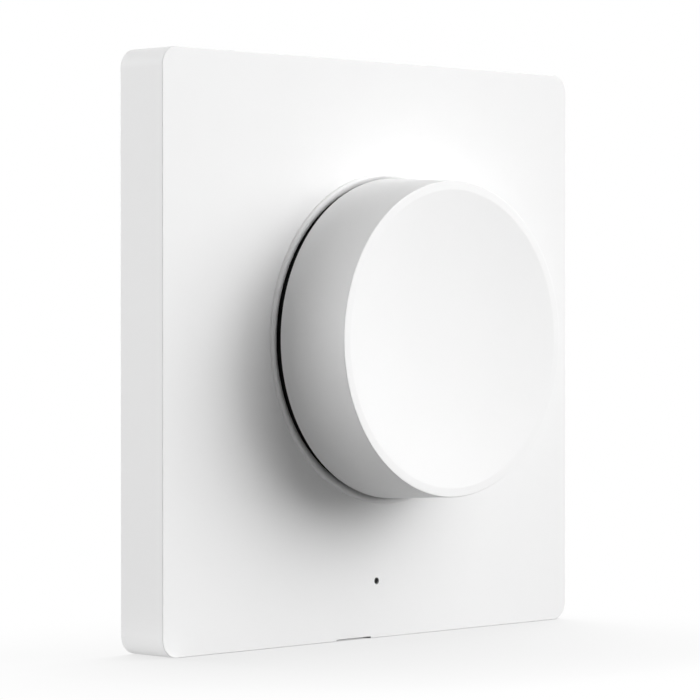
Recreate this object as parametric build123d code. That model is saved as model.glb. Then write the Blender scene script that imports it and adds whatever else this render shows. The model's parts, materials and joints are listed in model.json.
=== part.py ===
from build123d import *
from math import pi
import os

# Wireless dimmer switch for a wall: a square panel with a large knob that turns and presses.
# Every piece is drawn with x to the right, y up and z out of the wall, and is then stood up,
# so that +Z is up, the front faces -Y and the wall is the plane y = 0. Lengths are millimetres.

# Face panel
panel_width = 86.0
panel_height = 86.0
panel_depth = 8.8
panel_corner = 2.75
panel_edge = 0.12
shell_wall = 1.6
shell_front = 1.8
rib_width = 1.0
rib_gap = 0.1
rib_bars = 4

# Knob
knob_x = 2.5
knob_y = 1.7
knob_radius = 23.9
knob_draft = 0.65
knob_rise = 13.7
knob_lift = 1.4
knob_wall = 1.5
knob_top = 1.6
knob_edge = 0.15
knob_foot = 0.12
rim_land = 1.3
dish_sag = 0.8
press_travel = 0.6

# Raised lip round the knob hole, with its rolled inner side and the guard collar behind it
lip_reach = 0.8
lip_width = 1.65
lip_rise = 0.45
lip_edge = 0.4
lip_roll = 1.2
collar_wall = 1.2
collar_length = 0.6

# Pry notch in the panel's lower front edge
notch_x = -4.9
notch_width = 7.2
notch_height = 0.3
notch_depth = 1.6

# Snap hooks of the panel
hook_x = 22.0
hook_width = 8.0
hook_reach = 1.0
hook_tip = 0.5
hook_ramp = 1.6
hook_z = 3.6
hook_play = 0.2

# Base tray
base_clearance = 0.3
base_floor = 1.5
base_wall = 1.4
base_rim = 5.2
base_corner = 1.2

# Wall screw slots, and the adhesive pads let into the tray's back
wall_screw_spacing = 60.0
slot_length = 8.0
slot_width = 4.4
slot_margin = 2.4
slot_rise = 0.6
pad_width = 46.0
pad_height = 15.0
pad_thick = 0.6
pad_corner = 0.8
pad_inset = 9.5
pad_play = 0.2

# Circuit board and its screws
board_margin = 1.2
board_gap = 1.2
board_corner = 2.0
board_room = 2.6
board_thick = 1.0
board_relief = 6.0
screw_inset = 3.6
screw_radius = 0.95
screw_length = 2.5
screw_head_radius = 1.9
screw_head_height = 1.1
screw_recess_radius = 0.8
screw_recess_depth = 0.6
boss_radius = 2.6
screw_play = 0.05

# Rotary encoder
case_size = 12.0
case_height = 4.6
case_corner = 0.8
case_floor = 0.7
case_bore = 4.9
dome_radius = 2.6
dome_height = 0.35
dome_brim = 0.8
dome_thick = 0.12
dome_pocket = 0.65
dome_play = 0.3
rotor_radius = 4.6
rotor_thick = 1.2
rotor_rim = 0.5
rotor_rim_width = 0.9
rotor_teeth = 20
tooth_depth = 0.3
drive_size = 3.0
drive_play = 0.08
bushing_radius = 3.5
bushing_length = 5.0
bushing_flange = 4.7
bushing_flange_thick = 0.6
bracket_thick = 0.6
bracket_leg = 5.0
bracket_play = 0.1
spring_thick = 0.2
spring_bumps = 3
spring_rise = 0.5
shaft_radius = 3.0
shaft_play = 0.05
shaft_collar = 3.4
shaft_collar_thick = 0.5
shaft_flat = 1.5
end_play = 0.1
pin_width = 0.8
pin_thick = 0.3
pin_pitch = 2.5
pin_reach = 1.0
pin_tail = 0.8

# Knob hub and its grip ring
hub_fit = 0.05
hub_skirt = 1.4
hub_web = 1.4
hub_socket = 5.4
hub_floor = 0.35
hub_clear = 1.2
hub_ribs = 6
hub_rib_width = 1.2
hub_slit = 1.0
drum_gap = 0.65
drum_length = 4.4
grip_thick = 0.5
grip_height = 2.4
grip_gap = 50.0

# Radio module
radio_x = 12.0
radio_inset = 0.3
radio_width = 15.0
radio_height = 9.4
radio_thick = 0.8
shield_margin = 1.5
shield_height = 1.1
shield_sheet = 0.3
shield_corner = 0.8

# Indicator
led_x = 0.0
led_rise = 8.5
led_width = 2.0
led_foot = 0.4
led_height = 1.25
led_thick = 0.8
pinhole_radius = 0.5
pinhole_depth = 0.25
pinhole_length = 1.3
pipe_radius = 1.1
pipe_play = 0.05
pipe_boss = 1.1
pipe_boss_length = 0.6

# Coin cell and its contacts
cell_inset = 0.4
cell_radius = 10.0
cell_thick = 3.2
cell_cap_radius = 8.8
cell_cap_thick = 0.3
cell_edge = 0.35
cell_seat = 0.8
cell_play = 0.3
pocket_wall = 1.2
pocket_rise = 3.0
pocket_ledge = 0.9
finger_gap = 9.0
contact_thick = 0.3
contact_width = 5.0
contact_foot = 3.0
contact_play = 0.05
spring_plate = 5.0

# Levels, as distances from the wall
panel_inside = panel_depth - shell_front
face_z = panel_depth + knob_rise
rim_z = panel_depth + knob_lift
board_front = panel_inside - board_room
board_back = board_front - board_thick
case_top = board_front + case_height
dome_floor = board_front + case_floor
rotor_ledge = dome_floor + dome_pocket
rotor_back = rotor_ledge + end_play / 2
rotor_front = rotor_back + rotor_thick
flange_back = case_top - bushing_flange_thick
shaft_collar_front = flange_back - end_play
shaft_collar_back = shaft_collar_front - shaft_collar_thick
shaft_tip = dome_floor + dome_height + press_travel + end_play / 2
bushing_front = case_top + bushing_length
ceiling_z = face_z - dish_sag - knob_top
hub_back = bushing_front + hub_clear
web_front = hub_back + hub_web
socket_front = ceiling_z - hub_fit
shaft_end = socket_front - hub_floor
cell_back = base_floor + cell_seat
cell_front = cell_back + cell_thick
clip_front = cell_front + contact_play + contact_thick
screw_front = board_front + screw_head_height
rib_back = max(base_rim, clip_front, screw_front) + rib_gap
pipe_step = panel_depth - pinhole_length

# Radii and widths that follow from the sizes above
cap_inside = knob_radius - knob_draft - knob_wall
hub_radius = cap_inside - hub_fit
lip_radius = knob_radius + lip_reach
hole_radius = lip_radius - lip_width
drum_radius = hole_radius - drum_gap
base_width = panel_width - 2 * (shell_wall + base_clearance)
base_height = panel_height - 2 * (shell_wall + base_clearance)
room_width = base_width - 2 * base_wall
room_height = base_height - 2 * base_wall
pocket_radius = cell_radius + cell_play
pocket_outside = pocket_radius + pocket_wall

# Places that follow from the sizes above
cell_x = cell_inset + pocket_outside - room_width / 2
cell_y = cell_inset + pocket_outside - room_height / 2
led_y = led_rise - panel_height / 2
pad_y = base_height / 2 - pad_inset - pad_height / 2
board_left = cell_x + pocket_outside + board_gap
board_right = room_width / 2 - board_margin
board_x = (board_left + board_right) / 2
board_width = board_right - board_left
board_height = room_height - 2 * board_margin
radio_y = board_height / 2 - radio_inset - radio_height / 2

WALL = Plane(origin=(0, 0, 0), x_dir=(1, 0, 0), z_dir=(0, -1, 0))


def disc(radius, back, front):
    return Pos(0, 0, back) * extrude(Circle(radius), front - back)


def tube(outer, inner, back, front):
    return Pos(0, 0, back) * extrude(Circle(outer) - Circle(inner), front - back)


def block(width, height, back, front, corner=0.0):
    outline = RectangleRounded(width, height, corner) if corner else Rectangle(width, height)
    return Pos(0, 0, back) * extrude(outline, front - back)


def turned(points):
    """Solid of revolution about z from a closed outline of (radius, z) points."""
    outline = make_face(Polyline(*points, close=True))
    return revolve(Plane.XZ * outline, Axis.Z)


def on_axis(piece):
    return Pos(knob_x, knob_y, 0) * piece


def wall_screw_places():
    return [(side * wall_screw_spacing / 2, 0) for side in (-1, 1)]


def board_screw_places():
    reach_x = board_width / 2 - screw_inset
    reach_y = board_height / 2 - screw_inset
    return [(board_x + i * reach_x, j * reach_y) for i in (-1, 1) for j in (-1, 1)]


def pin_places():
    """Three signal pins below the encoder and two switch pins above it."""
    below = [(i * pin_pitch, -1) for i in (-1, 0, 1)]
    above = [(i * pin_pitch, 1) for i in (-1, 1)]
    return below + above


def cavity(front):
    """Room inside the panel's side walls, from the wall out to a level."""
    corner = max(panel_corner - shell_wall, shell_wall / 4)
    return block(panel_width - 2 * shell_wall, panel_height - 2 * shell_wall, 0, front, corner)


def panel_ribs():
    """Stiffening bars that run from the knob's collar to the side walls, behind the front."""
    reach = panel_width + panel_height
    ribs = Part()
    for i in range(rib_bars):
        bar = block(reach, rib_width, rib_back, panel_inside)
        ribs += on_axis(Rot(0, 0, 180 * i / rib_bars) * bar)
    return ribs & cavity(panel_inside)


def panel_hook(side):
    """Snap hook with a flat catch towards the front and a ramp towards the wall."""
    root = panel_height / 2 - shell_wall
    tip = root - hook_reach
    tip_back = hook_z - hook_tip
    ramp_back = hook_z - hook_ramp
    outline = Polyline((root, hook_z), (tip, hook_z), (tip, tip_back), (root, ramp_back), close=True)
    hook = extrude(Plane.YZ * make_face(outline), hook_width / 2, both=True)
    return hook if side > 0 else Rot(0, 0, 180) * hook


def knob_lip():
    """Thin raised ring that rolls over into the knob hole, with the guard collar behind it."""
    lip = tube(lip_radius, hole_radius, panel_inside, panel_depth + lip_rise)
    lip = fillet(lip.edges().group_by(Axis.Z)[-1].sort_by(SortBy.RADIUS)[-1], lip_edge)
    lip = fillet(lip.edges().group_by(Axis.Z)[-1].sort_by(SortBy.RADIUS)[0], lip_roll)
    collar = tube(hole_radius + collar_wall, hole_radius, panel_inside - collar_length, panel_inside)
    return lip + collar


def face_panel():
    outer = block(panel_width, panel_height, 0, panel_depth, panel_corner)
    outer = fillet(outer.edges().group_by(Axis.Z)[-1], panel_edge)
    shell = outer - cavity(panel_inside)
    shell += panel_ribs()
    shell -= on_axis(disc(lip_radius, panel_inside, panel_depth))
    shell -= on_axis(disc(hole_radius, 0, panel_inside))
    shell += on_axis(knob_lip())
    for side in (-1, 1):
        for x in (-hook_x, hook_x):
            shell += Pos(x, 0, 0) * panel_hook(side)
    pipe_bore = pipe_radius + pipe_play
    boss_back = panel_inside - pipe_boss_length
    shell += Pos(led_x, led_y, 0) * disc(pipe_bore + pipe_boss, boss_back, panel_inside)
    shell -= Pos(led_x, led_y, 0) * disc(pipe_bore, boss_back, pipe_step)
    shell -= Pos(led_x, led_y, 0) * disc(pinhole_radius, pipe_step, panel_depth)
    notch = block(notch_width, 2 * notch_height, panel_depth - notch_depth, panel_depth)
    shell -= Pos(notch_x, -panel_height / 2, 0) * notch
    return shell


def knob_cap():
    """Drum with a drafted side, a rounded rim, a narrow flat land and a shallow dished face."""
    face_radius = knob_radius - knob_draft
    cap = turned(
        [
            (0, ceiling_z),
            (cap_inside, ceiling_z),
            (cap_inside, rim_z),
            (knob_radius, rim_z),
            (face_radius, face_z),
            (0, face_z),
        ]
    )
    cap = fillet(cap.edges().group_by(Axis.Z)[-1], knob_edge)
    cap = fillet(cap.edges().group_by(Axis.Z)[0].sort_by(SortBy.RADIUS)[-1], knob_foot)
    dish_radius = face_radius - rim_land
    dish_ball = (dish_radius**2 + dish_sag**2) / (2 * dish_sag)
    cap -= Pos(0, 0, face_z - dish_sag + dish_ball) * Rot(90, 0, 0) * Sphere(dish_ball)
    return on_axis(cap)


def drive_flat(radius, flat, back, front):
    """Round bar with one flat, the section of the shaft's end and of the hub's socket."""
    section = Circle(radius) & Pos(flat - radius, 0) * Rectangle(2 * radius, 2 * radius)
    return Pos(0, 0, back) * extrude(section, front - back)


def knob_hub():
    """Ribbed carrier that fills the cap, with the shaft's socket and a drum that enters the hole."""
    inner = hub_radius - hub_skirt
    drum_front = rim_z - hub_fit
    hub = disc(hub_socket, hub_back, socket_front)
    hub += disc(hub_radius, hub_back, web_front)
    hub += tube(hub_radius, inner, drum_front, web_front)
    hub += tube(drum_radius, inner, drum_front - drum_length, drum_front)
    rib_start = hub_socket + grip_thick + 2 * hub_fit
    rib_mid = (rib_start + hub_radius) / 2
    rib = Pos(rib_mid, 0, 0) * block(hub_radius - rib_start, hub_rib_width, web_front, socket_front)
    for i in range(hub_ribs):
        hub += Rot(0, 0, 360 * i / hub_ribs) * rib & disc(hub_radius, web_front, socket_front)
    hub -= block(2 * hub_socket, hub_slit, web_front, socket_front)
    flat = shaft_radius - shaft_flat + hub_fit
    hub -= drive_flat(shaft_radius + hub_fit, flat, hub_back, shaft_end + hub_fit)
    return on_axis(hub)


def grip_ring():
    """Open spring ring that closes the hub's socket on the shaft."""
    inner = hub_socket + hub_fit
    ring = tube(inner + grip_thick, inner, web_front, web_front + grip_height)
    reach = 2 * hub_socket
    wedge = make_face(Polyline((0, 0), (reach, 0), Vector(reach, 0).rotate(Axis.Z, grip_gap), close=True))
    opening = Pos(0, 0, web_front) * extrude(wedge, grip_height)
    return on_axis(ring - opening)


def encoder_shaft():
    """Round shaft with a flat for the knob, a stop collar and a square tail that drives the rotor."""
    flat_back = hub_back - end_play
    shaft = disc(shaft_radius, shaft_collar_front, flat_back)
    shaft += drive_flat(shaft_radius, shaft_radius - shaft_flat, flat_back, shaft_end)
    shaft += disc(shaft_collar, shaft_collar_back, shaft_collar_front)
    shaft += block(drive_size, drive_size, shaft_tip, shaft_collar_back)
    return on_axis(shaft)


def encoder_rotor():
    """Detent wheel: a disc with a square hole and a crown of teeth on its raised rim."""
    rim_inner = rotor_radius - rotor_rim_width
    rotor = disc(rotor_radius, rotor_back, rotor_front)
    rotor += tube(rotor_radius, rim_inner, rotor_front, rotor_front + rotor_rim)
    tooth_width = rotor_radius * pi / rotor_teeth
    rim_top = rotor_front + rotor_rim
    cut = block(2 * rotor_radius, tooth_width, rim_top - tooth_depth, rim_top)
    for i in range(rotor_teeth):
        rotor -= Rot(0, 0, 360 * i / rotor_teeth) * Pos(rotor_radius, 0, 0) * cut
    hole = drive_size + 2 * drive_play
    return on_axis(rotor - block(hole, hole, rotor_back, rim_top))


def encoder_case():
    """Square moulded cup, bored for the rotor, with a deeper pocket for the push dome."""
    case = block(case_size, case_size, board_front, case_top, case_corner)
    case -= disc(case_bore, rotor_ledge, case_top)
    case -= disc(dome_radius + dome_play, dome_floor, rotor_ledge)
    return on_axis(case)


def encoder_bushing():
    """Turned neck with a flange that sits in the case under the bracket."""
    bore = shaft_radius + shaft_play
    return on_axis(
        turned(
            [
                (bore, flange_back),
                (bushing_flange, flange_back),
                (bushing_flange, case_top),
                (bushing_radius, case_top),
                (bushing_radius, bushing_front),
                (bore, bushing_front),
            ]
        )
    )


def bracket_legs(grow, back):
    """The saddle's two bent legs, which pass the case's sides and go through the board."""
    offset = case_size / 2 + bracket_play + bracket_thick / 2
    leg = block(bracket_thick + 2 * grow, bracket_leg + 2 * grow, back, case_top)
    return [Pos(side * offset, 0, 0) * leg for side in (-1, 1)]


def encoder_bracket():
    span = case_size + 2 * (bracket_play + bracket_thick)
    saddle = block(case_size, case_size, case_top, case_top + bracket_thick, case_corner)
    saddle += block(span, bracket_leg, case_top, case_top + bracket_thick)
    for leg in bracket_legs(0, board_back):
        saddle += leg
    return on_axis(saddle - disc(bushing_radius + bracket_play, case_top, case_top + bracket_thick))


def encoder_pin(grow):
    """Bent pin beside the case: a short arm and a tail that goes down through the board."""
    start = case_size / 2 + bracket_play
    arm = Pos(0, start + pin_reach / 2, 0) * block(
        pin_width, pin_reach, board_front, board_front + pin_thick
    )
    tail_y = start + pin_reach - pin_thick / 2
    tail = Pos(0, tail_y, 0) * block(
        pin_width + 2 * grow, pin_thick + 2 * grow, board_back - pin_tail, board_front
    )
    return arm, tail


def encoder_pins():
    arm, tail = encoder_pin(0)
    pins = []
    for x, side in pin_places():
        turn = Rot(0, 0, 0 if side > 0 else 180)
        pins.append(on_axis(Pos(x, 0, 0) * turn * (arm + tail)))
    return Compound(pins)


def detent_spring():
    """Flat steel ring with round bumps that ride on the rotor's teeth."""
    outer = bushing_flange
    inner = outer - rotor_rim_width
    back = flange_back - end_play - spring_thick
    ring = tube(outer, inner, back, back + spring_thick)
    mid = (outer + inner) / 2
    low = rotor_front + rotor_rim + end_play / 2
    for i in range(spring_bumps):
        bump = disc((outer - inner) / 3, max(low, back - spring_rise), back)
        ring += Rot(0, 0, 360 * i / spring_bumps) * Pos(mid, 0, 0) * bump
    return on_axis(ring)


def push_dome():
    """Thin snap dome: a shallow cap with a flat brim."""
    top = dome_floor + dome_height
    shoulder = dome_radius - dome_brim
    return on_axis(
        turned(
            [
                (0, top - dome_thick),
                (shoulder, dome_floor),
                (dome_radius, dome_floor),
                (dome_radius, dome_floor + dome_thick),
                (shoulder, dome_floor + dome_thick),
                (0, top),
            ]
        )
    )


def circuit_board():
    board = Pos(board_x, 0, 0) * block(board_width, board_height, board_back, board_front, board_corner)
    for x, y in board_screw_places():
        board -= Pos(x, y, 0) * disc(screw_radius + 2 * screw_play, board_back, board_front)
    for x, y in wall_screw_places():
        outward = board_width / 2 if x > 0 else -board_width / 2
        board -= Pos(x, y, 0) * disc(board_relief, board_back, board_front)
        board -= Pos(x + outward, y, 0) * block(board_width, 2 * board_relief, board_back, board_front)
    for leg in bracket_legs(bracket_play, board_back):
        board -= on_axis(leg)
    tail = encoder_pin(bracket_play)[1]
    for x, side in pin_places():
        board -= on_axis(Pos(x, 0, 0) * Rot(0, 0, 0 if side > 0 else 180) * tail)
    return board


def board_screws():
    """Pan head screws with a cross recess."""
    screw = disc(screw_head_radius, board_front, screw_front)
    screw = fillet(screw.edges().group_by(Axis.Z)[-1], screw_head_height / 3)
    screw += disc(screw_radius, board_front - screw_length, board_front)
    recess_back = screw_front - screw_recess_depth
    slot = block(2 * screw_recess_radius, screw_recess_radius / 2, recess_back, screw_front)
    screw -= slot
    screw -= Rot(0, 0, 90) * slot
    return Compound([Pos(x, y, 0) * screw for x, y in board_screw_places()])


def radio_board():
    module = block(radio_width, radio_height, board_front, board_front + radio_thick)
    return Pos(radio_x, radio_y, 0) * module


def radio_shield():
    """Drawn metal can, open towards the module."""
    back = board_front + radio_thick
    width = radio_width - 2 * shield_margin
    height = radio_height - 2 * shield_margin
    top = back + shield_height
    can = block(width, height, back, top, shield_corner)
    can = fillet(can.edges().group_by(Axis.Z)[-1], shield_sheet)
    room = block(width - 2 * shield_sheet, height - 2 * shield_sheet, back, top - shield_sheet)
    return Pos(radio_x, radio_y, 0) * (can - room)


def indicator_led():
    lens = block(led_width - 2 * led_foot, led_height, board_front, board_front + led_thick)
    foot = block(led_width, led_height, board_front, board_front + led_thick / 2)
    return Pos(led_x, led_y, 0) * (lens + foot)


def light_pipe():
    """Stepped rod: its wide end faces the lamp, its thin end stands in the pinhole."""
    back = board_front + led_thick + end_play
    step = pipe_step - pipe_play
    rod = disc(pipe_radius, back, step)
    rod += disc(pinhole_radius - pipe_play, step, panel_depth - pinhole_depth)
    return Pos(led_x, led_y, 0) * rod


def coin_cell():
    """Pressed can with its wide face to the front and the smaller cap to the back."""
    can = disc(cell_radius, cell_back + cell_cap_thick, cell_front)
    can = fillet(can.edges().filter_by(GeomType.CIRCLE), cell_edge)
    return Pos(cell_x, cell_y, 0) * (can + disc(cell_cap_radius, cell_back, cell_back + cell_cap_thick))


def contact_end_x():
    """Where the cell contacts reach the board, just inside its left edge."""
    return board_left + contact_foot


def strip(points, width):
    """Bent sheet strip: an (x, z) outline given a width about the cell's centre line."""
    outline = make_face(Polyline(*points, close=True))
    return Pos(0, cell_y, 0) * extrude(Plane.XZ * outline, width / 2, both=True)


def cell_clip():
    """Upper contact: a foot on the board, a riser and a tongue over the cell."""
    edge = board_left
    low = cell_front + contact_play
    return strip(
        [
            (contact_end_x(), board_front),
            (contact_end_x(), board_front + contact_thick),
            (edge + contact_thick, board_front + contact_thick),
            (edge + contact_thick, clip_front),
            (cell_x, clip_front),
            (cell_x, low),
            (edge, low),
            (edge, board_front),
        ],
        contact_width,
    )


def cell_spring():
    """Lower contact: a plate under the cell with a raised tongue, and a tail up to the board."""
    low = base_floor + contact_play
    top = cell_back - contact_play
    plate_end = cell_x - spring_plate
    tail = contact_end_x()
    return strip(
        [
            (plate_end, low),
            (tail, low),
            (tail, board_back),
            (tail - contact_thick, board_back),
            (tail - contact_thick, low + contact_thick),
            (cell_x + spring_plate, low + contact_thick),
            (cell_x, top),
            (cell_x - contact_thick, top),
            (cell_x + spring_plate - 2 * contact_thick, low + contact_thick),
            (plate_end, low + contact_thick),
        ],
        contact_width,
    )


def cell_pocket():
    """Round wall that holds the cell, with a ledge under its edge and a gap for a finger."""
    top = base_floor + pocket_rise
    ring = tube(pocket_outside, pocket_radius, base_floor, top)
    ring += tube(pocket_radius, pocket_radius - pocket_ledge, base_floor, cell_back - contact_play)
    path = block(pocket_outside, contact_width + 2 * cell_play, base_floor, top)
    path = Pos(pocket_outside / 2, 0, 0) * path
    finger = Pos(0, pocket_outside / 2, 0) * block(finger_gap, pocket_outside, cell_back, top)
    return Pos(cell_x, cell_y, 0) * (ring - path - finger)


def base_frame():
    """Shallow tray with bosses, cell pocket, wall screw slots and windows for the panel's hooks."""
    tray = block(base_width, base_height, 0, base_rim, base_corner)
    tray -= block(room_width, room_height, base_floor, base_rim, base_corner / 2)
    for x, y in board_screw_places():
        tray += Pos(x, y, 0) * disc(boss_radius, base_floor, board_back)
        pilot_back = board_front - screw_length - end_play
        tray -= Pos(x, y, 0) * disc(screw_radius + screw_play, pilot_back, board_back)
    tray += cell_pocket()
    for x, y in wall_screw_places():
        pad = SlotOverall(slot_length + 2 * slot_margin, slot_width + 2 * slot_margin)
        tray += Pos(x, y, base_floor) * extrude(pad, slot_rise)
        tray -= Pos(x, y, 0) * extrude(SlotOverall(slot_length, slot_width), base_floor + slot_rise)
    window_back = hook_z - hook_ramp - hook_play
    window = block(hook_width + 2 * hook_play, 2 * base_wall, window_back, hook_z + hook_play)
    pad_pocket = block(pad_width + 2 * pad_play, pad_height + 2 * pad_play, 0, pad_thick)
    for side in (-1, 1):
        for x in (-hook_x, hook_x):
            tray -= Pos(x, side * base_height / 2, 0) * window
        tray -= Pos(0, side * pad_y, 0) * pad_pocket
    return tray


def adhesive_pads():
    """Foam strips that fill the shallow pockets in the tray's back."""
    pad = block(pad_width, pad_height, 0, pad_thick, pad_corner)
    return Compound([Pos(0, side * pad_y, 0) * pad for side in (-1, 1)])


PIECES = [
    face_panel,
    base_frame,
    adhesive_pads,
    circuit_board,
    board_screws,
    encoder_case,
    encoder_bracket,
    encoder_bushing,
    encoder_pins,
    detent_spring,
    push_dome,
    radio_board,
    radio_shield,
    indicator_led,
    light_pipe,
    coin_cell,
    cell_clip,
    cell_spring,
    encoder_rotor,
    encoder_shaft,
    knob_hub,
    grip_ring,
    knob_cap,
]

os.makedirs("parts", exist_ok=True)
for make in PIECES:
    export_step(WALL.location * make(), f"parts/{make.__name__}.step")
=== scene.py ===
import json
import math

import bpy
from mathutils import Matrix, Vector


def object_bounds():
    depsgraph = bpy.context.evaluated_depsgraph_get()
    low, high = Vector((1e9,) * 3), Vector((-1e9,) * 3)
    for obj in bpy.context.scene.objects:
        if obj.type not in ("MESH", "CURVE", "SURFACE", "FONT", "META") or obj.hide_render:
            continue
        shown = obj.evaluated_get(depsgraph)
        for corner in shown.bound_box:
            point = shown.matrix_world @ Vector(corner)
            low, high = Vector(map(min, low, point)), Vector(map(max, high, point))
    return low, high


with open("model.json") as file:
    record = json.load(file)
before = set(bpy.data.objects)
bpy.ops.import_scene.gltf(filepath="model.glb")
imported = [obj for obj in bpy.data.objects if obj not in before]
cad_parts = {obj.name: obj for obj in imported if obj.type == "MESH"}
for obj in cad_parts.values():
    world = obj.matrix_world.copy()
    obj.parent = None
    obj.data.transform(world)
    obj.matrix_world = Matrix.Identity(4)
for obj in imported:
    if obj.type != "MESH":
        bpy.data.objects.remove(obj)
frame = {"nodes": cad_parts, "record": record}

CAD_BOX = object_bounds()
NODES = frame["nodes"]
MM = 0.001

# Camera, from the panel's edges and the knob's rims in the 700 pixel frame
IMAGE_SIZE = 700.0
SENSOR = 36.0
FOCAL_PIXELS = 3249.4
CAMERA_YAW = math.radians(45.354)
CAMERA_PITCH = math.radians(-0.7)
CAMERA_TARGET = Vector((3.234, 0.0, -0.108)) * MM
CAMERA_DISTANCE = 493.6 * MM

# Knob axis from the frame's turning joint, and the thickness of the pads' paper liner
KNOB_AXIS = next(j["pos_m"] for j in frame["record"]["behaviour"]["joints"] if j["name"] == "knob_turn")
LINER = 0.1 * MM

# Moulded plastic: noise scales of its cloudy colour and its gloss, and the height of its grain
CLOUD_SCALE = 60.0
GLOSS_SCALE = 300.0
GRAIN_HEIGHT = 0.02 * MM

# Height of metal's surface marks, scale and height of the foam's cells, and height of the copper tracks
MARK_HEIGHT = 0.01 * MM
FOAM_SCALE = 2200.0
FOAM_HEIGHT = 0.05 * MM
TRACK_HEIGHT = 0.03 * MM

# Blender's ring wave repeats after this length at scale 1
WAVE_LENGTH = math.pi / 10.0

# Floor shadow: the side that the floor's light is taken to come from, how far off the object still shades the
# floor and the level in full shade; the reach and level for the floor right under the object, and the open
# share from which on it isn't shaded; and the samples for both
SHADE_SIDE = (0.78, 0.47, 0.42)
SHADE_REACH = 60.0 * MM
SHADE_LEVEL = 0.7
UNDER_REACH = 2.0 * MM
UNDER_LEVEL = 0.55
UNDER_OPEN = 0.5
SHADE_SAMPLES = 16

# Floor: half its size, and how far the card in it reaches out from the panel's left side, in under the panel,
# forward of the wall plane and back of it. The card glows for the rays that carry light, and so lights the
# panel's near lower corner from below
FLOOR_HALF = 6.0
CARD_LEFT = 4.0 * MM
CARD_UNDER = 3.0 * MM
CARD_FRONT = 12.0 * MM
CARD_BACK = 3.0 * MM


def new_material(name):
    """Material with its node tree and its Principled shader."""
    material = bpy.data.materials.new(name)
    material.use_nodes = True
    tree = material.node_tree
    return material, tree, tree.nodes["Principled BSDF"]


def grey(value):
    return (value, value, value)


def place(tree, stretch=(1.0, 1.0, 1.0), centre=(0.0, 0.0, 0.0)):
    """Position in the object's own metres about a centre, stretched along each axis."""
    coordinates = tree.nodes.new("ShaderNodeTexCoord")
    mapping = tree.nodes.new("ShaderNodeMapping")
    mapping.inputs["Location"].default_value = [-c * s for c, s in zip(centre, stretch)]
    mapping.inputs["Scale"].default_value = stretch
    tree.links.new(coordinates.outputs["Object"], mapping.inputs["Vector"])
    return mapping.outputs["Vector"]


def noise(tree, scale, detail=2.0, stretch=(1.0, 1.0, 1.0)):
    node = tree.nodes.new("ShaderNodeTexNoise")
    node.inputs["Scale"].default_value = scale
    node.inputs["Detail"].default_value = detail
    tree.links.new(place(tree, stretch), node.inputs["Vector"])
    return node.outputs["Fac"]


def cells(tree, scale):
    """Cell pattern: distance from the middle of each cell."""
    node = tree.nodes.new("ShaderNodeTexVoronoi")
    node.inputs["Scale"].default_value = scale
    tree.links.new(place(tree), node.inputs["Vector"])
    return node.outputs["Distance"]


def rings(tree, pitch):
    """Turning marks: rings round the knob's axis, one for each pitch."""
    node = tree.nodes.new("ShaderNodeTexWave")
    node.wave_type = "RINGS"
    node.rings_direction = "Y"
    node.inputs["Scale"].default_value = WAVE_LENGTH / pitch
    node.inputs["Distortion"].default_value = 0.4
    tree.links.new(place(tree, centre=KNOB_AXIS), node.inputs["Vector"])
    return node.outputs["Fac"]


def traces(tree, width, height, line):
    """Copper tracks: one where the lines of an offset grid run, zero between them."""
    node = tree.nodes.new("ShaderNodeTexBrick")
    node.inputs["Scale"].default_value = 1.0
    node.inputs["Brick Width"].default_value = width
    node.inputs["Row Height"].default_value = height
    node.inputs["Mortar Size"].default_value = line
    node.inputs["Mortar Smooth"].default_value = 0.2
    upright = tree.nodes.new("ShaderNodeVectorRotate")
    upright.rotation_type = "X_AXIS"
    upright.inputs["Angle"].default_value = math.radians(-90.0)
    tree.links.new(place(tree), upright.inputs["Vector"])
    tree.links.new(upright.outputs["Vector"], node.inputs["Vector"])
    return node.outputs["Fac"]


def behind(tree, depth):
    """One within a depth of the wall plane, zero further out."""
    parts = tree.nodes.new("ShaderNodeSeparateXYZ")
    tree.links.new(place(tree), parts.inputs["Vector"])
    test = tree.nodes.new("ShaderNodeMath")
    test.operation = "GREATER_THAN"
    test.inputs[1].default_value = -depth
    tree.links.new(parts.outputs["Y"], test.inputs[0])
    return test.outputs[0]


def ramp(tree, source, low, high, start=0.3, end=0.7):
    """Colour that goes from low to high as the source goes from start to end."""
    node = tree.nodes.new("ShaderNodeValToRGB")
    node.color_ramp.elements[0].position = start
    node.color_ramp.elements[1].position = end
    node.color_ramp.elements[0].color = (*low, 1.0)
    node.color_ramp.elements[1].color = (*high, 1.0)
    tree.links.new(source, node.inputs["Fac"])
    return node.outputs["Color"]


def blend(tree, share, first, second):
    """Mix of two colour sockets."""
    node = tree.nodes.new("ShaderNodeMix")
    node.data_type = "RGBA"
    tree.links.new(share, node.inputs["Factor"])
    tree.links.new(first, node.inputs["A"])
    tree.links.new(second, node.inputs["B"])
    return node.outputs["Result"]


def spread(tree, source, low, high, top=1.0):
    """Number that goes from low to high as the source goes from 0 to its top."""
    node = tree.nodes.new("ShaderNodeMapRange")
    node.inputs["From Max"].default_value = top
    node.inputs["To Min"].default_value = low
    node.inputs["To Max"].default_value = high
    tree.links.new(source, node.inputs["Value"])
    return node.outputs["Result"]


def bump(tree, shader, height, strength, distance):
    node = tree.nodes.new("ShaderNodeBump")
    node.inputs["Strength"].default_value = strength
    node.inputs["Distance"].default_value = distance
    tree.links.new(height, node.inputs["Height"])
    tree.links.new(node.outputs["Normal"], shader.inputs["Normal"])


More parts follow.
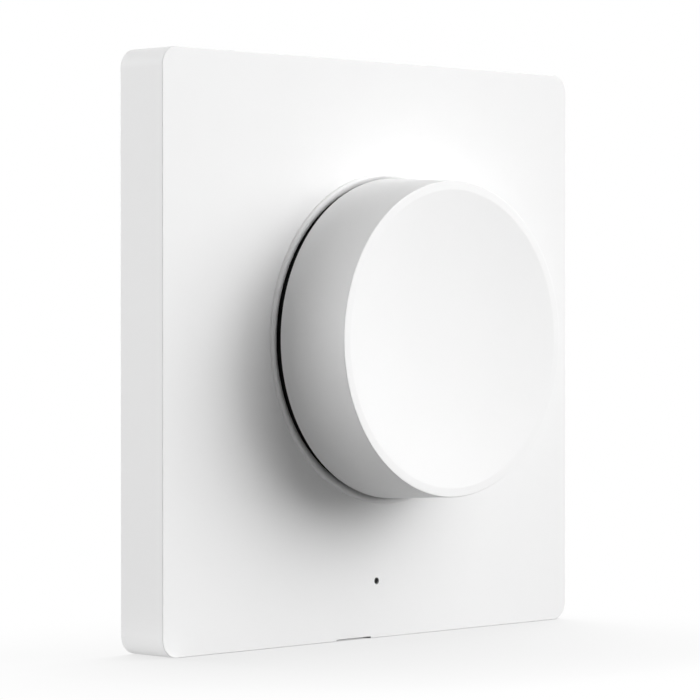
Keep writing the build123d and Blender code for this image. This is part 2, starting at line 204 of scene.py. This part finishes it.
def moulded_plastic(name, low, high, roughness, grain_scale, grain, shine=0.5):
    """Moulded plastic: faint cloudy colour, uneven gloss and the fine grain of the mould."""
    material, tree, shader = new_material(name)
    shader.inputs["Specular IOR Level"].default_value = shine
    tree.links.new(ramp(tree, noise(tree, CLOUD_SCALE), low, high), shader.inputs["Base Color"])
    tree.links.new(spread(tree, noise(tree, GLOSS_SCALE), *roughness), shader.inputs["Roughness"])
    bump(tree, shader, noise(tree, grain_scale, detail=3.0), strength=grain, distance=GRAIN_HEIGHT)
    return material


def plated_metal(name, low, high, roughness, marks, depth):
    """Bare or plated metal whose tone, gloss and relief all follow its surface marks."""
    material, tree, shader = new_material(name)
    shader.inputs["Metallic"].default_value = 1.0
    source = marks(tree)
    tree.links.new(ramp(tree, source, low, high), shader.inputs["Base Color"])
    tree.links.new(spread(tree, source, *roughness), shader.inputs["Roughness"])
    bump(tree, shader, source, strength=depth, distance=MARK_HEIGHT)
    return material


def natural_nylon():
    low, high = (0.7, 0.69, 0.63), (0.78, 0.77, 0.73)
    material = moulded_plastic(
        "natural_nylon", low, high, roughness=(0.4, 0.5), grain_scale=3000.0, grain=0.1
    )
    shader = material.node_tree.nodes["Principled BSDF"]
    shader.inputs["Subsurface Weight"].default_value = 0.3
    shader.inputs["Subsurface Scale"].default_value = 0.5 * MM
    return material


def smoked_clear():
    """Dark tinted rod, with little shine at its end down in the pinhole."""
    return moulded_plastic(
        "smoked_clear", grey(0.004), grey(0.008),
        roughness=(0.3, 0.45), grain_scale=2500.0, grain=0.05, shine=0.15,
    )


def lamp_resin():
    low, high = (0.8, 0.72, 0.4), (0.87, 0.8, 0.5)
    material = moulded_plastic(
        "lamp_resin", low, high, roughness=(0.12, 0.2), grain_scale=1500.0, grain=0.05
    )
    shader = material.node_tree.nodes["Principled BSDF"]
    shader.inputs["Transmission Weight"].default_value = 0.35
    return material


def foam_with_liner():
    """Closed foam, with the paper liner on the face that is stuck to the wall."""
    material, tree, shader = new_material("foam_with_liner")
    foam = ramp(tree, cells(tree, FOAM_SCALE), grey(0.55), grey(0.72), start=0.1, end=0.7)
    paper = ramp(tree, noise(tree, 500.0, detail=4.0), (0.74, 0.73, 0.69), (0.82, 0.81, 0.78))
    tree.links.new(blend(tree, behind(tree, LINER), foam, paper), shader.inputs["Base Color"])
    tree.links.new(spread(tree, noise(tree, 700.0), 0.7, 0.9), shader.inputs["Roughness"])
    bump(tree, shader, cells(tree, FOAM_SCALE), strength=0.25, distance=FOAM_HEIGHT)
    return material


def printed_board(name, low, high, copper, pitch, line):
    """Solder mask over copper tracks, which show lighter and stand up a little."""
    material, tree, shader = new_material(name)
    tracks = traces(tree, 3.0 * pitch, pitch, line)
    mask = ramp(tree, noise(tree, 200.0), low, high)
    lit = ramp(tree, noise(tree, 900.0), high, copper)
    tree.links.new(blend(tree, tracks, mask, lit), shader.inputs["Base Color"])
    tree.links.new(spread(tree, noise(tree, 400.0), 0.25, 0.38), shader.inputs["Roughness"])
    bump(tree, shader, tracks, strength=0.4, distance=TRACK_HEIGHT)
    return material


def cloudy(tree):
    return noise(tree, 700.0, detail=3.0)


def rolled(tree):
    """Long streaks along the strip, as rolling leaves them."""
    return noise(tree, 900.0, detail=3.0, stretch=(0.08, 1.0, 1.0))


def crystals(tree):
    return cells(tree, 900.0)


def turning_marks(tree):
    return rings(tree, 0.09 * MM)


BY_SLOT = {
    "white_shell": moulded_plastic(
        "white_shell", grey(0.875), grey(0.885),
        roughness=(0.46, 0.52), grain_scale=6000.0, grain=0.06, shine=0.25,
    ),
    "white_knob": moulded_plastic(
        "white_knob", grey(0.86), grey(0.87), roughness=(0.36, 0.42), grain_scale=6000.0, grain=0.05
    ),
    "black_plastic": moulded_plastic(
        "textured_black", grey(0.02), grey(0.03), roughness=(0.5, 0.65), grain_scale=3500.0, grain=0.45
    ),
    "hub_plastic": moulded_plastic(
        "matte_black", grey(0.014), grey(0.02), roughness=(0.6, 0.75), grain_scale=4000.0, grain=0.3
    ),
    "case_plastic": moulded_plastic(
        "filled_black", grey(0.03), (0.05, 0.05, 0.06), roughness=(0.45, 0.6), grain_scale=2500.0, grain=0.2
    ),
    "rotor_plastic": natural_nylon(),
    "smoked_plastic": smoked_clear(),
    "led_resin": lamp_resin(),
    "foam_tape": foam_with_liner(),
    "board_laminate": printed_board(
        "green_board", (0.015, 0.14, 0.06), (0.03, 0.22, 0.1),
        copper=(0.08, 0.34, 0.16), pitch=1.9 * MM, line=0.12 * MM,
    ),
    "module_laminate": printed_board(
        "blue_board", (0.015, 0.03, 0.14), (0.03, 0.05, 0.2),
        copper=(0.09, 0.13, 0.34), pitch=1.1 * MM, line=0.08 * MM,
    ),
    "screw_steel": plated_metal(
        "zinc_plated", (0.5, 0.51, 0.54), grey(0.64), roughness=(0.3, 0.42), marks=cloudy, depth=0.2
    ),
    "sheet_steel": plated_metal(
        "tinned", (0.6, 0.6, 0.61), (0.7, 0.7, 0.71), roughness=(0.26, 0.4), marks=crystals, depth=0.15
    ),
    "spring_steel": plated_metal(
        "bright_rolled", grey(0.5), (0.6, 0.6, 0.62), roughness=(0.18, 0.32), marks=rolled, depth=0.25
    ),
    "turned_metal": plated_metal(
        "turned", grey(0.66), (0.76, 0.76, 0.78), roughness=(0.2, 0.34), marks=turning_marks, depth=0.3
    ),
    "contact_metal": plated_metal(
        "brass", (0.7, 0.55, 0.3), (0.8, 0.67, 0.42), roughness=(0.24, 0.38), marks=rolled, depth=0.2
    ),
    "cell_can": plated_metal(
        "nickel_can", (0.62, 0.61, 0.59), (0.74, 0.73, 0.71), roughness=(0.16, 0.28), marks=cloudy, depth=0.1
    ),
}

for entry in frame["record"]["subparts"]:
    node = NODES[entry["node"]]
    node.data.materials.clear()
    node.data.materials.append(BY_SLOT[entry["material_slot"]])


def aim(obj, start, target):
    """Puts a lamp or camera at the start and points it at the target."""
    obj.location = start
    obj.rotation_mode = "QUATERNION"
    obj.rotation_quaternion = (Vector(target) - Vector(start)).to_track_quat("-Z", "Y")


def soft_sun(name, elevation, azimuth, spread_angle, level):
    """Broad distant light: azimuth 0 is from the front, 90 from the right; level 1 lights white to white."""
    data = bpy.data.lights.new(name, "SUN")
    data.energy = level * math.pi
    data.angle = math.radians(spread_angle)
    lamp = bpy.data.objects.new(name, data)
    bpy.context.scene.collection.objects.link(lamp)
    up = math.radians(elevation)
    turn = math.radians(azimuth)
    aim(lamp, (math.sin(turn) * math.cos(up), -math.cos(turn) * math.cos(up), math.sin(up)), (0, 0, 0))


def set_camera():
    data = bpy.data.cameras.new("camera")
    data.sensor_width = SENSOR
    data.lens = FOCAL_PIXELS / IMAGE_SIZE * SENSOR
    data.clip_start = 0.01
    camera = bpy.data.objects.new("camera", data)
    bpy.context.scene.collection.objects.link(camera)
    forward = Vector(
        (
            math.sin(CAMERA_YAW) * math.cos(CAMERA_PITCH),
            math.cos(CAMERA_YAW) * math.cos(CAMERA_PITCH),
            math.sin(CAMERA_PITCH),
        )
    )
    aim(camera, CAMERA_TARGET - forward * CAMERA_DISTANCE, CAMERA_TARGET)
    bpy.context.scene.camera = camera


def seen_mask(tree):
    """One for the rays that see the white surroundings, and zero for those that carry light."""
    path = tree.nodes.new("ShaderNodeLightPath")
    total = path.outputs["Is Camera Ray"]
    for name in ("Is Glossy Ray", "Is Transmission Ray"):
        most = tree.nodes.new("ShaderNodeMath")
        most.operation = "MAXIMUM"
        tree.links.new(total, most.inputs[0])
        tree.links.new(path.outputs[name], most.inputs[1])
        total = most.outputs[0]
    return total


def set_world(level):
    """Plain fill light, with a white background for what the camera and reflections see."""
    world = bpy.data.worlds.new("studio")
    bpy.context.scene.world = world
    world.use_nodes = True
    tree = world.node_tree
    tree.nodes.clear()
    fill = tree.nodes.new("ShaderNodeBackground")
    fill.inputs["Color"].default_value = (1.0, 1.0, 1.0, 1.0)
    fill.inputs["Strength"].default_value = level
    seen = tree.nodes.new("ShaderNodeBackground")
    seen.inputs["Color"].default_value = (1.0, 1.0, 1.0, 1.0)
    seen.inputs["Strength"].default_value = 1.0
    mix = tree.nodes.new("ShaderNodeMixShader")
    out = tree.nodes.new("ShaderNodeOutputWorld")
    tree.links.new(seen_mask(tree), mix.inputs["Fac"])
    tree.links.new(fill.outputs[0], mix.inputs[1])
    tree.links.new(seen.outputs[0], mix.inputs[2])
    tree.links.new(mix.outputs[0], out.inputs["Surface"])


def stage_white(name, under_level, light_type, light_socket, light_value):
    """Stage material: where it is seen, white with the object's soft shadow, which falls to the front left;
    for the rays that carry light, the shader and value given."""
    material = bpy.data.materials.new(name)
    material.use_nodes = True
    tree = material.node_tree
    tree.nodes.clear()
    light = tree.nodes.new(light_type)
    light.inputs[light_socket].default_value = light_value
    side = tree.nodes.new("ShaderNodeCombineXYZ")
    for axis, value in zip("XYZ", SHADE_SIDE):
        side.inputs[axis].default_value = value
    shade = tree.nodes.new("ShaderNodeAmbientOcclusion")
    shade.samples = SHADE_SAMPLES
    shade.inputs["Distance"].default_value = SHADE_REACH
    tree.links.new(side.outputs["Vector"], shade.inputs["Normal"])
    under = tree.nodes.new("ShaderNodeAmbientOcclusion")
    under.samples = SHADE_SAMPLES
    under.inputs["Distance"].default_value = UNDER_REACH
    level = tree.nodes.new("ShaderNodeMath")
    level.operation = "MULTIPLY"
    tree.links.new(spread(tree, shade.outputs["AO"], SHADE_LEVEL, 1.0), level.inputs[0])
    tree.links.new(spread(tree, under.outputs["AO"], under_level, 1.0, UNDER_OPEN), level.inputs[1])
    seen = tree.nodes.new("ShaderNodeEmission")
    tree.links.new(level.outputs[0], seen.inputs["Strength"])
    mix = tree.nodes.new("ShaderNodeMixShader")
    out = tree.nodes.new("ShaderNodeOutputMaterial")
    tree.links.new(seen_mask(tree), mix.inputs["Fac"])
    tree.links.new(light.outputs[0], mix.inputs[1])
    tree.links.new(seen.outputs[0], mix.inputs[2])
    tree.links.new(mix.outputs[0], out.inputs["Surface"])
    return material


def set_floor(bounce, card):
    """Pale floor under the panel's lower edge, with a small card in it under the near lower corner; the card
    glows for the rays that carry light, to light that corner from below.
    """
    low, high = CAD_BOX
    across = (-FLOOR_HALF, low.x - CARD_LEFT, low.x + CARD_UNDER, FLOOR_HALF)
    deep = (-FLOOR_HALF, -CARD_FRONT, high.y + CARD_BACK, FLOOR_HALF)
    corners = [(x, y, low.z) for y in deep for x in across]
    row = len(across)
    starts = [row * j + i for j in range(len(deep) - 1) for i in range(row - 1)]
    tiles = [(start, start + 1, start + row + 1, start + row) for start in starts]
    mesh = bpy.data.meshes.new("floor")
    mesh.from_pydata(corners, [], tiles)
    pale = (*grey(bounce), 1.0)
    mesh.materials.append(stage_white("floor_white", UNDER_LEVEL, "ShaderNodeBsdfDiffuse", "Color", pale))
    # Card: seen, it is white like the floor; for the rays that carry light it glows and lights the panel's
    # near lower corner
    mesh.materials.append(stage_white("card_white", 1.0, "ShaderNodeEmission", "Strength", card))
    mesh.polygons[len(tiles) // 2].material_index = 1
    floor = bpy.data.objects.new("floor", mesh)
    bpy.context.scene.collection.objects.link(floor)


set_camera()
set_world(level=0.135)
set_floor(bounce=0.25, card=0.55)
soft_sun("key_low", elevation=12.0, azimuth=50.0, spread_angle=50.0, level=0.57)
soft_sun("key_mid", elevation=22.0, azimuth=46.0, spread_angle=60.0, level=0.26)
soft_sun("key_high", elevation=40.0, azimuth=28.0, spread_angle=60.0, level=0.47)
soft_sun("back_left", elevation=9.0, azimuth=-123.0, spread_angle=50.0, level=1.02)
soft_sun("fill_left", elevation=20.0, azimuth=-45.0, spread_angle=60.0, level=0.02)
bpy.context.scene.view_settings.view_transform = "Standard"
